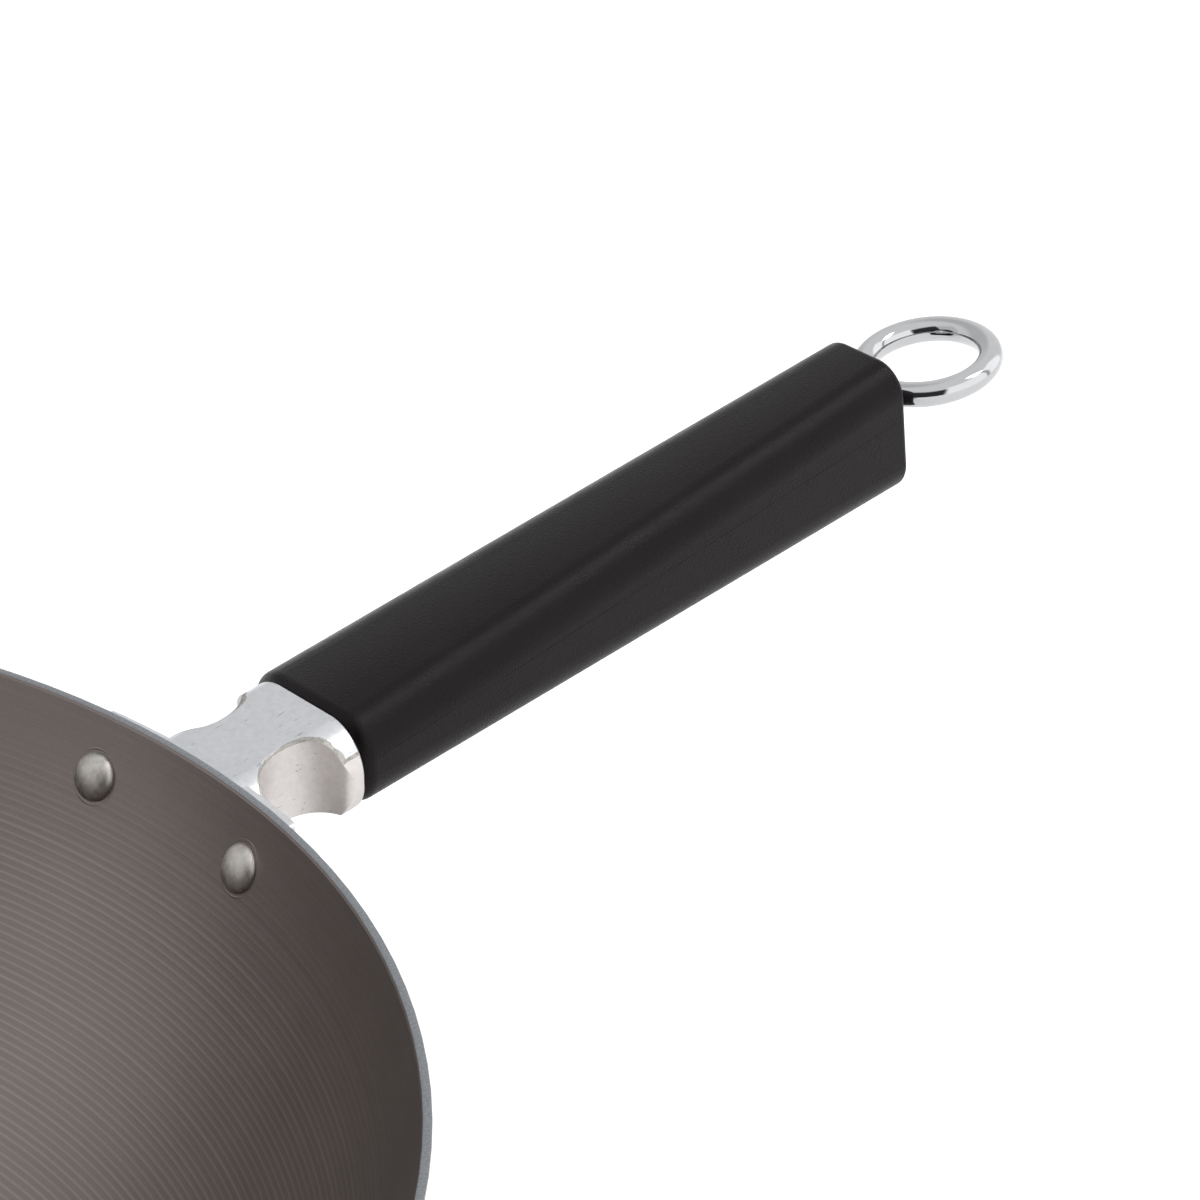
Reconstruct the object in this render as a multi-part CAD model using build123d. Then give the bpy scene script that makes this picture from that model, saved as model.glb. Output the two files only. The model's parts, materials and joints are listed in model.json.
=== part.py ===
from build123d import *
import os
from math import atan2, cos, degrees, radians, sin, sqrt, tan

# A 14-inch flat-bottomed carbon steel wok with a long moulded grip on a cast bracket, a hanging eye at the
# grip's end and a helper handle opposite. Millimetres. The origin is the middle of the flat base's underside,
# +Z is up and +X runs along the long handle. A drop is a distance down from the plane of the rim.

# Bowl: a flat base, a rolled knuckle and a wall that is part of a sphere
rim_radius = 178.0
wok_height = 104.0
base_radius = 75.8
knuckle_radius = 20.0
sheet = 1.5

# Rivets, the same four for both handles, with their places on the wall's outer face
rivet_spacing = 42.8
rivet_drop = 11.3
rivet_shank_radius = 2.5
rivet_head_radius = 4.6
rivet_head_height = 2.6
rivet_head_edge = 1.9
rivet_head_rounding = 1.5
rivet_tail_radius = 4.2
rivet_tail_height = 1.9
rivet_tail_edge = 0.5
rivet_hole_gap = 0.05
rivet_seat_gap = 0.02

# Flange of each bracket: a plate that follows the wall just under the rim
flange_gap = 0.05
flange_thickness = 3.5
flange_top_drop = 2.2
flange_depth = 17.4
flange_top_corner = 1.2
flange_bottom_corner = 6.0
flange_edge_rounding = 0.7
handle_flange_width = 54.4
helper_flange_width = 74.0

# Long grip: wide and flat at the bracket, narrow and tall at its outer end
neck_reach = 25.3
grip_length = 142.1
grip_near_width = 33.7
grip_near_height = 18.1
grip_near_corner = 7.5
grip_near_top_rise = 2.4
grip_far_width = 22.1
grip_far_height = 28.6
grip_far_corner = 6.6
grip_far_top_rise = 26.6
grip_far_lean = 5.7
grip_end_rounding = 1.2
grip_near_rounding = 2.6

# Neck of the handle bracket, between its flange and its collar, which stands a little inside the grip's outline
collar_width = 32.9
collar_height = 17.9
collar_top_rise = 2.0
collar_top_corner = 9.0
collar_bottom_corner = 6.9
neck_top_angle = 8.4
neck_waist_width = 16.2
scoop_length = 17.8
scoop_radius = 8.6
scoop_distance = 13.2
scoop_corner = 2.4
collar_band = 0.15
collar_toe_radius = 2.15
neck_underside_rise = 1.95
neck_root_drop = 19.7
neck_edge_rounding = 0.6
neck_plan_inset = 0.05
collar_edge_rounding = 0.4

# Tenon that keys the grip to the bracket
tenon_width = 19.0
tenon_height = 9.6
tenon_length = 9.0
tenon_corner = 2.0
tenon_gap = 0.15
tenon_end_gap = 0.6

# Eye bolt: a ring on a long rod that runs through the grip and screws into the bracket
rod_start_drop = 7.5
rod_exit_rise = 15.3
ring_radius = 12.8
wire_radius = 2.57
ring_tilt = -3.0
thread_radius = 3.0
thread_length = 21.0
thread_gap = 0.05
thread_end_gap = 0.8
thread_chamfer = 0.6
rod_bore_gap = 0.35
washer_radius = 6.2
washer_bore_gap = 0.2
washer_thickness = 1.3
washer_seat_gap = 0.02
eye_gap = 0.3

# Helper handle: a short bar between two arms, held by one long screw
helper_bar_length = 60.0
helper_bar_depth = 17.0
helper_bar_height = 18.0
helper_bar_corner = 6.0
helper_bar_rounding = 1.2
helper_reach = 36.0
helper_rise = 3.6
arm_thickness = 6.0
arm_end_radius = 8.2
arm_root_drop = 17.0
arm_root_corner = 6.0
arm_bar_gap = 0.1
screw_radius = 2.5
screw_bore_gap = 0.25
screw_thread_gap = 0.05
screw_head_radius = 4.8
screw_head_height = 2.6
screw_head_edge = 0.5
screw_head_gap = 0.02
screw_tip_setback = 0.4
slot_width = 1.2
slot_depth = 1.1

# How far a cutting solid runs past what it cuts
overrun = 12.0


def wall_sphere():
    """Radius of the wall's outer sphere and the height of its centre: it meets the rim's edge and runs
    smoothly into the knuckle."""
    reach = (rim_radius**2 + wok_height**2 - base_radius**2) / (2 * knuckle_radius)
    steepness = (wok_height - knuckle_radius) / knuckle_radius
    square = steepness**2 - 1
    half_linear = reach * steepness - wok_height
    constant = reach**2 - rim_radius**2 - wok_height**2
    height = (half_linear - sqrt(half_linear**2 - square * constant)) / square
    return reach - steepness * height, height


# Worked-out places
wall_sphere_radius, sphere_height = wall_sphere()
sphere_centre = Vector(0, 0, sphere_height)
inner_sphere_radius = wall_sphere_radius - sheet
flange_inner_radius = wall_sphere_radius + flange_gap
flange_outer_radius = flange_inner_radius + flange_thickness
grip_start = rim_radius + neck_reach
grip_end = grip_start + grip_length
rod_angle = degrees(atan2(rod_exit_rise + rod_start_drop, grip_length))


def wall_radius_at(sphere_radius, drop):
    """Distance from the wok's axis of a sphere about the bowl's centre, at a drop below the rim."""
    return sqrt(sphere_radius**2 - (sphere_height - wok_height + drop)**2)


def unit(angle_deg):
    """Direction along the handle, raised by an angle."""
    return Vector(cos(radians(angle_deg)), 0, sin(radians(angle_deg)))


def section_plane(x, z, lean_deg=0.0, side=1):
    """Plane square to the handle, its x to the side and its y upwards."""
    lean = radians(lean_deg)
    return Plane(origin=(side * x, 0, z), x_dir=(0, side, 0), z_dir=(side * cos(lean), 0, sin(lean)))


def side_plane(side=1):
    """Upright plane through the handle's middle: its x is the distance from the wok's axis, its y the height."""
    return Plane(origin=(0, 0, 0), x_dir=(side, 0, 0), z_dir=(0, -side, 0))


def ball(radius):
    """Solid sphere about the bowl's centre, large enough in one piece to cut the brackets to the wall."""
    return Pos(*sphere_centre) * Sphere(radius)


# Rivets
def rivet_plane(side, lateral, sphere_radius):
    """Plane at a rivet, on a sphere about the bowl's centre, its z pointing out of the wok."""
    height = wok_height - rivet_drop
    reach = wall_radius_at(wall_sphere_radius, rivet_drop)
    along = side * sqrt(reach**2 - lateral**2)
    outward = (Vector(along, lateral, height) - sphere_centre).normalized()
    return Plane(origin=sphere_centre + outward * sphere_radius, x_dir=(0, 1, 0), z_dir=outward)


def rivet_planes(side, sphere_radius):
    return [rivet_plane(side, lateral, sphere_radius) for lateral in (-rivet_spacing / 2, rivet_spacing / 2)]


def domed_disc(radius, height, edge_height):
    """Low dome on a short cylindrical edge, its flat face at z = 0."""
    with BuildPart() as disc:
        with BuildSketch(Plane.XZ):
            with BuildLine():
                Polyline((0, height), (0, 0), (radius, 0), (radius, edge_height))
                crown = height - edge_height
                dome_radius = (radius**2 + crown**2) / (2 * crown)
                RadiusArc((radius, edge_height), (0, height), -dome_radius)
            make_face()
        revolve(axis=Axis.Z)
    return disc.part


def rivet_head():
    """Low dome with a well-rounded edge."""
    button = domed_disc(rivet_head_radius, rivet_head_height, rivet_head_edge)
    rims = button.edges().filter_by(lambda edge: edge.is_closed)
    return button.fillet(rivet_head_rounding, rims.sort_by(Axis.Z)[-1:])


def rivet_holes(side):
    length = sheet + flange_thickness + 2 * overrun
    hole = Cylinder(rivet_shank_radius + rivet_hole_gap, length)
    return [plane * hole for plane in rivet_planes(side, wall_sphere_radius)]


def rivet(plane):
    """One rivet through the sheet and the flange, its head inside the bowl."""
    grip = flange_outer_radius - inner_sphere_radius + 2 * rivet_seat_gap
    head_sag = inner_sphere_radius - sqrt(inner_sphere_radius**2 - rivet_head_radius**2)
    length = grip + head_sag
    shank = Pos(0, 0, length / 2) * Cylinder(rivet_shank_radius, length)
    head = Rot(180, 0, 0) * rivet_head()
    tail = Pos(0, 0, length) * domed_disc(rivet_tail_radius, rivet_tail_height, rivet_tail_edge)
    seat = Pos(0, 0, -rivet_seat_gap - head_sag)
    return plane * seat * (shank + head + tail)


def rivet_pair(side):
    return [rivet(plane) for plane in rivet_planes(side, inner_sphere_radius)]


# Bowl
def bowl_half_section():
    """Half section of the bowl: base, knuckle and wall, outside and inside concentric."""
    wall_angle = atan2(knuckle_radius - sphere_height, base_radius)
    middle_angle = (wall_angle - radians(90)) / 2
    rim_angles = [atan2(wok_height - sphere_height, wall_radius_at(radius, 0))
                  for radius in (wall_sphere_radius, inner_sphere_radius)]

    def on_knuckle(radius, angle):
        return (base_radius + radius * cos(angle), knuckle_radius + radius * sin(angle))

    def on_wall(radius, angle):
        return (radius * cos(angle), sphere_height + radius * sin(angle))

    inner_knuckle = knuckle_radius - sheet
    with BuildSketch(Plane.XZ) as section:
        with BuildLine():
            Polyline((0, sheet), (0, 0), (base_radius, 0))
            ThreePointArc((base_radius, 0), on_knuckle(knuckle_radius, middle_angle),
                          on_wall(wall_sphere_radius, wall_angle))
            ThreePointArc(on_wall(wall_sphere_radius, wall_angle),
                          on_wall(wall_sphere_radius, (wall_angle + rim_angles[0]) / 2),
                          on_wall(wall_sphere_radius, rim_angles[0]))
            Line(on_wall(wall_sphere_radius, rim_angles[0]), on_wall(inner_sphere_radius, rim_angles[1]))
            ThreePointArc(on_wall(inner_sphere_radius, rim_angles[1]),
                          on_wall(inner_sphere_radius, (wall_angle + rim_angles[1]) / 2),
                          on_wall(inner_sphere_radius, wall_angle))
            ThreePointArc(on_wall(inner_sphere_radius, wall_angle), on_knuckle(inner_knuckle, middle_angle),
                          (base_radius, sheet))
            Line((base_radius, sheet), (0, sheet))
        make_face()
    return section.sketch


def wok_body():
    bowl = revolve(bowl_half_section(), axis=Axis.Z)
    for side in (1, -1):
        for hole in rivet_holes(side):
            bowl -= hole
    return bowl


# Flange, shared by both brackets
def flange(side, width):
    """Plate of even thickness against the wall, with its top just under the rim."""
    top = wok_height - flange_top_drop
    with BuildSketch(section_plane(0, top - flange_depth / 2, side=side)) as outline:
        Rectangle(width, flange_depth)
        fillet(outline.vertices().sort_by(Axis.Y)[:2], flange_bottom_corner)
        fillet(outline.vertices().sort_by(Axis.Y)[-2:], flange_top_corner)
    prism = extrude(outline.sketch, amount=wall_sphere_radius + flange_thickness + overrun)
    plate = prism & (ball(flange_outer_radius) - ball(flange_inner_radius))
    outer_face = plate.faces().filter_by(GeomType.SPHERE).sort_by(SortBy.AREA)[-1]
    return plate.fillet(flange_edge_rounding, outer_face.edges())


# Long handle
def near_section_plane():
    return section_plane(grip_start, wok_height + grip_near_top_rise - grip_near_height / 2)


def far_section_plane():
    """Plane of the grip's end face, its origin in the middle of the face."""
    lean = radians(grip_far_lean)
    x = grip_end + grip_far_height / 2 * sin(lean)
    z = wok_height + grip_far_top_rise - grip_far_height / 2 * cos(lean)
    return section_plane(x, z, grip_far_lean)


def near_outline():
    return near_section_plane() * RectangleRounded(grip_near_width, grip_near_height, grip_near_corner)


def far_outline():
    return far_section_plane() * RectangleRounded(grip_far_width, grip_far_height, grip_far_corner)


rod_start = Vector(grip_start, 0, wok_height - rod_start_drop)
rod_direction = unit(rod_angle)


def rod_plane(distance, tilt_deg=0.0):
    """Plane square to the rod, at a distance along it from the collar's face, turned about the rod."""
    plane = Plane(origin=rod_start + rod_direction * distance, x_dir=(0, 1, 0), z_dir=rod_direction)
    return plane.rotated((0, 0, tilt_deg))


def rod_length_to_end_face():
    """Distance along the rod from the collar's face to the grip's end face."""
    face = far_section_plane()
    return (face.origin - rod_start).dot(face.z_dir) / rod_direction.dot(face.z_dir)


def rod_cylinder(radius, start, end):
    return rod_plane((start + end) / 2) * Cylinder(radius, end - start)


def tenon(extra=0.0, extra_length=0.0):
    """Key between bracket and grip, or the grip's pocket when it is made larger."""
    length = tenon_length + extra_length
    outline = RectangleRounded(tenon_width + 2 * extra, tenon_height + 2 * extra, tenon_corner)
    plane = section_plane(grip_start, rod_start.Z + tenon_length / 2 * tan(radians(rod_angle)))
    return extrude(plane * outline, amount=length)


def collar_outline():
    """Outline of the collar's face, its upper corners rounder than its lower ones."""
    middle = wok_height + collar_top_rise - collar_height / 2
    with BuildSketch(section_plane(grip_start, middle)) as outline:
        Rectangle(collar_width, collar_height)
        fillet(outline.vertices().sort_by(Axis.Y)[:2], collar_bottom_corner)
        fillet(outline.vertices().sort_by(Axis.Y)[-2:], collar_top_corner)
    return outline.sketch


def neck_top_plane():
    """Plane of the neck's sloping top, its origin at the collar's face and its x up the slope."""
    slope = radians(neck_top_angle)
    return Plane(origin=(grip_start, 0, wok_height + collar_top_rise),
                 x_dir=(cos(slope), 0, sin(slope)), z_dir=(-sin(slope), 0, cos(slope)))


def neck_profile():
    """The collar's section run back to the wall along the slope of its top. Below, a narrow band of the collar
    is left at its full depth, and a rounded toe leads up from it to the neck's straight underside."""
    root = wall_radius_at(flange_inner_radius, neck_root_drop) - overrun
    run = (grip_start - root) / cos(radians(neck_top_angle))
    body = extrude(collar_outline(), amount=run, dir=tuple(-unit(neck_top_angle)))
    body = body.fillet(collar_edge_rounding, body.faces().sort_by(Axis.X)[-1].edges())
    collar_bottom = wok_height + collar_top_rise - collar_height
    toe_start = grip_start - collar_band
    toe_run = sqrt(collar_toe_radius**2 - (collar_toe_radius - neck_underside_rise)**2)
    with BuildSketch(side_plane()) as below:
        with BuildLine():
            toe = RadiusArc((toe_start, collar_bottom), (toe_start - toe_run, collar_bottom + neck_underside_rise),
                            collar_toe_radius)
            Polyline(toe @ 1, (root, wok_height - neck_root_drop), (root, wok_height + overrun),
                     (grip_start, wok_height + overrun), (grip_start, collar_bottom), toe @ 0)
        make_face()
    return body & extrude(below.sketch, amount=collar_width, both=True)


def neck_plan():
    """Plan of the neck as a thick plate: a waist between two scoops with wide round corners, its upper edges
    rounded. It lies just inside the collar's outline, so that no two faces fall together when they are joined."""
    back = wall_radius_at(flange_inner_radius, neck_root_drop) - overrun - grip_start
    with BuildSketch(neck_top_plane().offset(-neck_plan_inset)) as plan:
        with Locations(((back + overrun) / 2, 0)):
            Rectangle(overrun - back, collar_width - 2 * neck_plan_inset)
        scoop_middle = (neck_waist_width + collar_width) / 2
        with Locations(*[(-scoop_distance, side * scoop_middle) for side in (1, -1)]):
            RectangleRounded(scoop_length, collar_width, scoop_radius, mode=Mode.SUBTRACT)
        rows = plan.vertices().group_by(Axis.Y)
        mouths = [row.sort_by(Axis.X)[1:-1] for row in (rows[0], rows[-1])]
        fillet([corner for mouth in mouths for corner in mouth], scoop_corner)
    plate = extrude(plan.sketch, amount=collar_height + flange_depth, dir=(0, 0, -1))
    top = plate.faces().sort_by(Axis.Z)[-1]
    return plate.fillet(neck_edge_rounding, top.edges())


def neck():
    """Neck and collar, cut to the wall."""
    return (neck_profile() & neck_plan()) - ball(flange_inner_radius)


def handle_bracket():
    bracket = neck() + flange(1, handle_flange_width)
    bracket += tenon()
    for hole in rivet_holes(1):
        bracket -= hole
    bore_start = tenon_length - thread_length - thread_end_gap
    return bracket - rod_cylinder(thread_radius + thread_gap, bore_start, tenon_length + overrun)


def handle_grip():
    near, far = near_outline(), far_outline()
    grip = loft([near.face(), far.face()], ruled=True)
    ends = grip.faces().sort_by(Axis.X)
    grip = grip.fillet(grip_end_rounding, ends[-1].edges())
    ends = grip.faces().sort_by(Axis.X)
    grip = grip.fillet(grip_near_rounding, ends[0].edges())
    grip -= tenon(tenon_gap, tenon_end_gap)
    bore_end = rod_length_to_end_face() + overrun
    return grip - rod_cylinder(thread_radius + rod_bore_gap, -overrun, bore_end)


def eye_washer():
    """Flat washer on the grip's end face, round the rod."""
    hit = rod_start + rod_direction * rod_length_to_end_face()
    face = far_section_plane()
    plane = Plane(origin=hit, x_dir=face.x_dir, z_dir=face.z_dir)
    ring = Cylinder(washer_radius, washer_thickness) - Cylinder(thread_radius + washer_bore_gap, washer_thickness)
    return plane * Pos(0, 0, washer_thickness / 2 + washer_seat_gap) * ring


def hanging_eye_bolt():
    """Ring in line with the handle, on a rod with a rolled thread at its inner end."""
    end_face = rod_length_to_end_face()
    ring_middle = end_face + washer_thickness + eye_gap + ring_radius + wire_radius
    turned = rod_plane(ring_middle, ring_tilt)
    ring_plane = Plane(origin=turned.origin, x_dir=turned.z_dir, z_dir=-turned.y_dir)
    ring = ring_plane * Torus(ring_radius, wire_radius)
    thread_start = tenon_length - thread_length
    thread_end = tenon_length
    rod = rod_cylinder(wire_radius, thread_end, ring_middle - ring_radius)
    thread = rod_cylinder(thread_radius, thread_start, thread_end)
    tip = thread.edges().filter_by(GeomType.CIRCLE).sort_by(Axis.X)[0]
    thread = thread.chamfer(thread_chamfer, None, [tip])
    return thread + rod + ring


# Helper handle
bar_height = wok_height + helper_rise
bar_x = rim_radius + helper_reach
arm_inner = helper_bar_length / 2 + arm_bar_gap
arm_outer = arm_inner + arm_thickness


def helper_bar_axis_plane():
    """Upright plane square to the bar, at its middle, its x pointing away from the wok."""
    return Plane(origin=(-bar_x, 0, bar_height), x_dir=(-1, 0, 0), z_dir=(0, 1, 0))


def arms():
    """Two arms that leave the ends of the flange and carry the bar, as one U-shaped piece of the casting."""
    root = wall_radius_at(flange_inner_radius, arm_root_drop) - overrun
    top_root = (root, wok_height - flange_top_drop)
    low_root = (root, wok_height - arm_root_drop)
    rise = atan2(bar_height + arm_end_radius - top_root[1], bar_x - rim_radius)
    fall = atan2(bar_height - arm_end_radius - low_root[1], bar_x - root)
    with BuildSketch(side_plane(-1)) as profile:
        with BuildLine():
            top_end = (bar_x - arm_end_radius * sin(rise), bar_height + arm_end_radius * cos(rise))
            low_end = (bar_x + arm_end_radius * sin(fall), bar_height - arm_end_radius * cos(fall))
            top_start = (rim_radius, wok_height - flange_top_drop)
            Polyline(top_end, top_start, top_root, low_root, low_end)
            ThreePointArc(low_end, (bar_x + arm_end_radius, bar_height), top_end)
        make_face()
    outer_x = bar_x + arm_end_radius + overrun
    body = extrude(profile.sketch, amount=arm_outer, both=True)
    window_root = wall_radius_at(flange_inner_radius, arm_root_drop)
    with BuildSketch(Plane.XY.offset(wok_height - flange_depth - overrun)) as window:
        with Locations((-(window_root + outer_x) / 2, 0)):
            RectangleRounded(outer_x - window_root, 2 * arm_inner, arm_root_corner)
    return body - extrude(window.sketch, amount=flange_depth + 2 * overrun + helper_bar_height)


def helper_bracket():
    casting = arms() + flange(-1, helper_flange_width)
    casting -= ball(flange_inner_radius)
    for hole in rivet_holes(-1):
        casting -= hole
    along = helper_bar_axis_plane()
    clear = Cylinder(screw_radius + screw_bore_gap, arm_outer, align=(Align.CENTER, Align.CENTER, Align.MAX))
    tapped = Cylinder(screw_radius + screw_thread_gap, arm_outer, align=(Align.CENTER, Align.CENTER, Align.MIN))
    return casting - along * clear - along * tapped


def helper_grip():
    plane = helper_bar_axis_plane()
    outline = RectangleRounded(helper_bar_depth, helper_bar_height, helper_bar_corner)
    bar = extrude(plane * outline, amount=helper_bar_length / 2, both=True)
    ends = bar.faces().sort_by(Axis.Y)
    bar = bar.fillet(helper_bar_rounding, ends[0].edges() + ends[-1].edges())
    return bar - plane * Cylinder(screw_radius + screw_bore_gap, helper_bar_length + overrun)


def helper_screw():
    """Slotted screw with a domed head on the near arm, tapped into the far one."""
    along = helper_bar_axis_plane()
    length = 2 * arm_outer + screw_head_gap - screw_tip_setback
    shank = Cylinder(screw_radius, length, align=(Align.CENTER, Align.CENTER, Align.MIN))
    head = Rot(180, 0, 0) * domed_disc(screw_head_radius, screw_head_height, screw_head_edge)
    slot = Pos(0, 0, -screw_head_height) * Box(2 * screw_head_radius, slot_width, 2 * slot_depth)
    return along * Pos(0, 0, -arm_outer - screw_head_gap) * (shank + head - slot)


def write(name, *solids):
    """Write one node, as the separate solids that it holds."""
    node = Compound(label=name, children=[solid.solid() for solid in solids])
    export_step(node, f"parts/{name}.step")


def main():
    os.makedirs("parts", exist_ok=True)
    write("wok_body", wok_body())
    write("handle_bracket", handle_bracket())
    write("handle_rivets", *rivet_pair(1))
    write("handle_grip", handle_grip())
    write("eye_washer", eye_washer())
    write("hanging_eye_bolt", hanging_eye_bolt())
    write("helper_bracket", helper_bracket())
    write("helper_rivets", *rivet_pair(-1))
    write("helper_grip", helper_grip())
    write("helper_screw", helper_screw())


main()
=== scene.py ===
import json
from math import atan2, cos, pi, radians, sin, sqrt

import bpy
from mathutils import Matrix, Vector, noise
from mathutils.bvhtree import BVHTree


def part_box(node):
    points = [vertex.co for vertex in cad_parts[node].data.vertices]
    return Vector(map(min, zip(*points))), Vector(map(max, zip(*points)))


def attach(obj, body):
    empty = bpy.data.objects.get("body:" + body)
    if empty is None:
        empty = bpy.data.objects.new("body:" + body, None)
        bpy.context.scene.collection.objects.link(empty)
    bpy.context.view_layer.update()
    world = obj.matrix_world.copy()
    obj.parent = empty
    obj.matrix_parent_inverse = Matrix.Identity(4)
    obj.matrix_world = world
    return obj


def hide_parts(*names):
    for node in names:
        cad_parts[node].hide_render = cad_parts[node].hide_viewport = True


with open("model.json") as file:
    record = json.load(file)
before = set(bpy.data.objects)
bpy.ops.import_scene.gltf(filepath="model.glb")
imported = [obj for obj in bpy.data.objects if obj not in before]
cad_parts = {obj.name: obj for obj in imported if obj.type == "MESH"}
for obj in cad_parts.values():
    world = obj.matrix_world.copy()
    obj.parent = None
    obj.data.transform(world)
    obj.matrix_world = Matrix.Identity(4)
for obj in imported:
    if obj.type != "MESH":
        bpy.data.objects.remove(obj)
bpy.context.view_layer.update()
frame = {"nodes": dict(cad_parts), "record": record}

# A carbon steel wok with a long moulded grip. Metres, in the frame of the solids: the origin is the middle of
# the flat base's underside, +Z is up and +X runs along the long handle.
MM = 0.001

# Bowl
base_radius = 75.8 * MM
knuckle_radius = 20.0 * MM
sheet = 1.5 * MM
rim_inner_rounding = 0.2 * MM
rim_outer_rounding = 0.3 * MM
rim_arc_steps = 5
rim_top_share = 0.88
bowl_columns = 144
base_rows = 19
outside_rows = 64

# Spinning grooves: the roller left a shallow scallop at each turn, with a sharp crest between two
groove_pitch = 1.47 * MM
groove_depth = 0.013 * MM
groove_rows = 5
crest_power = 3
pitch_spread_share = 0.12
grooves_per_drift = 2.6
depth_spread_share = 0.4
grooves_per_depth = 2
depth_row = 7
plain_band = 3.0 * MM
groove_fade = 26.0 * MM
least_groove_share = 0.25

# Rivets with full domed heads, and the raised lip that closing each one leaves in the sheet
rivet_spacing = 42.8 * MM
rivet_drop = 11.3 * MM
rivet_head_radius = 4.6 * MM
rivet_head_height = 2.6 * MM
rivet_shank_radius = 2.5 * MM
rivet_tail_radius = 4.2 * MM
rivet_tail_height = 1.9 * MM
rivet_grip_length = 5.07 * MM
rivet_columns = 64
dome_steps = 14
lip_radius = 5.2 * MM
lip_width = 0.7 * MM
lip_height = 0.05 * MM
lip_sink = 0.03 * MM
lip_columns = 72
lip_rows = 10

# Eye bolt
ring_radius = 12.8 * MM
wire_radius = 2.57 * MM
ring_tilt = -3.0
ring_columns = 144
wire_columns = 40
neck_flare = 1.1 * MM
neck_flare_length = 2.4 * MM
flare_steps = 8
thread_radius = 3.0 * MM
thread_root = 2.5 * MM
thread_pitch = 1.0 * MM
thread_length = 21.0 * MM
tenon_length = 9.0 * MM
rod_columns = 40
rod_step = 0.16 * MM

# Neck of the long handle's bracket: its scoops, as they lie in plan, and the foot of its buffed band
neck_reach = 25.3 * MM
scoop_distance = 13.1 * MM
scoop_half_length = 8.8 * MM
scoop_radius = 8.6 * MM
scoop_side_reach = 16.7 * MM
# Burr band: a real burr, widened and darkened as painted shade for the dark reflection along ridge and collar
ridge_burr_and_shade = 0.42 * MM
collar_burr_and_shade = 1.15 * MM
burr_and_shade_widest_share = 0.65
burr_and_shade_turn_shares = (0.3, 0.6)
collar_share = 0.6
buffing_foot_share = 0.54
buffing_soft_share = 0.02
burr_and_shade_foot_share = 0.47
burr_and_shade_wave_share = 0.06

# Crown of the grip's top and the parting line of its mould
crown_radius = 62.0 * MM
parting_height_share = 0.6
parting_radius = 0.13 * MM
parting_sink = 0.07 * MM
parting_points = 24
parting_end_gap = 4.5 * MM

# Roughness of the burr and its band of painted shade, and how much the casting's mottle adds to every
# roughness
burr_and_shade_roughness = 0.45
mottle_roughness = 0.12

# Sizes of what the surfaces show. The steel's turning lines and the grain of the casting and of the moulding
# are finer on the real wok, and are drawn as coarse as they need to show.
turning_line = 0.3 * MM
turning_band = 2.6 * MM
turning_relief = 0.006 * MM
oil_patch = 26 * MM
steel_grain = 0.4 * MM
edge_grain = 0.5 * MM
edge_relief = 0.01 * MM
casting_mottle = 1.4 * MM
casting_grain = 0.2 * MM
casting_relief = 0.03 * MM
scratch_length = 5.5 * MM
scratch_width = 0.5 * MM
moulding_grain = 0.4 * MM
moulding_cloud = 9 * MM
moulding_relief = 0.12 * MM
plating_haze = 3.0 * MM
plating_relief = 0.01 * MM
rivet_scuff = 1.3 * MM
rivet_grain = 0.2 * MM
rivet_relief = 0.03 * MM

# How much of each pattern goes into a finish
turning_band_share = 0.4
oil_patch_share = 0.35
steel_grain_share = 0.3
# Share of painted highlight along the crests of the grooves
crest_painted_highlight_share = 0.22
casting_grain_share = 0.4
casting_pit_share = 0.35
scratch_colour_share = 0.6
scratch_depth_share = 0.3
moulding_grain_share = 0.5
rivet_grain_share = 0.25

# Camera, solved from the outline of the rim, the grip and the ring
camera_place = (-0.27887, -0.61514, 0.55686)
camera_elevation = 28.88
camera_azimuth = -42.02
camera_lens = 148.16
camera_sensor = 36.0
camera_near = 50 * MM

# Studio
floor_half = 4.0
floor_drop = 0.1 * MM
floor_glow = 0.2
room_level = 1.15
room_foot_level = 0.92
room_top_level = 0.95
room_top_rise = 80

# Panels of the room. Each has its level, then the middle, half width and soft edge of its turn from the
# front, and the same of its rise, in degrees. The one behind is in two halves, because turns end at 180.
behind_left = (0.68, -180, 18, 27, 20, 40, 25)
behind_right = (0.68, 180, 18, 27, 20, 40, 25)
left_side = (0.72, -96, 16, 12, 10, 20, 15)
dark_end = (0.04, -50, 27, 5, 8, 28, 12)
front_window = (1.40, 14, 32, 9, 16, 28, 12)
window_post = (0.45, 54, 3, 5, 25, 30, 8)
side_window = (1.50, 72, 13, 8, 22, 22, 9)
high_lamp = (9.50, 48, 8, 6, 58, 6, 6)


def linear(hex_colour):
    """Linear colour from an sRGB hex value."""
    channels = [int(hex_colour[place:place + 2], 16) / 255 for place in (1, 3, 5)]
    return (*[c / 12.92 if c <= 0.04045 else ((c + 0.055) / 1.055) ** 2.4 for c in channels], 1)


def add(tree, kind, inputs=None, **settings):
    """Add a node with its settings. Each input is given a value, or the output that feeds it."""
    node = tree.nodes.new(kind)
    for name, value in settings.items():
        setattr(node, name, value)
    for name, value in (inputs or {}).items():
        if isinstance(value, bpy.types.NodeSocket):
            tree.links.new(value, node.inputs[name])
        else:
            node.inputs[name].default_value = value
    return node


def new_material(name):
    """Empty material, its node tree and its shader."""
    material = bpy.data.materials.new(name)
    material.use_nodes = True
    tree = material.node_tree
    return material, tree, tree.nodes["Principled BSDF"]


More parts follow.
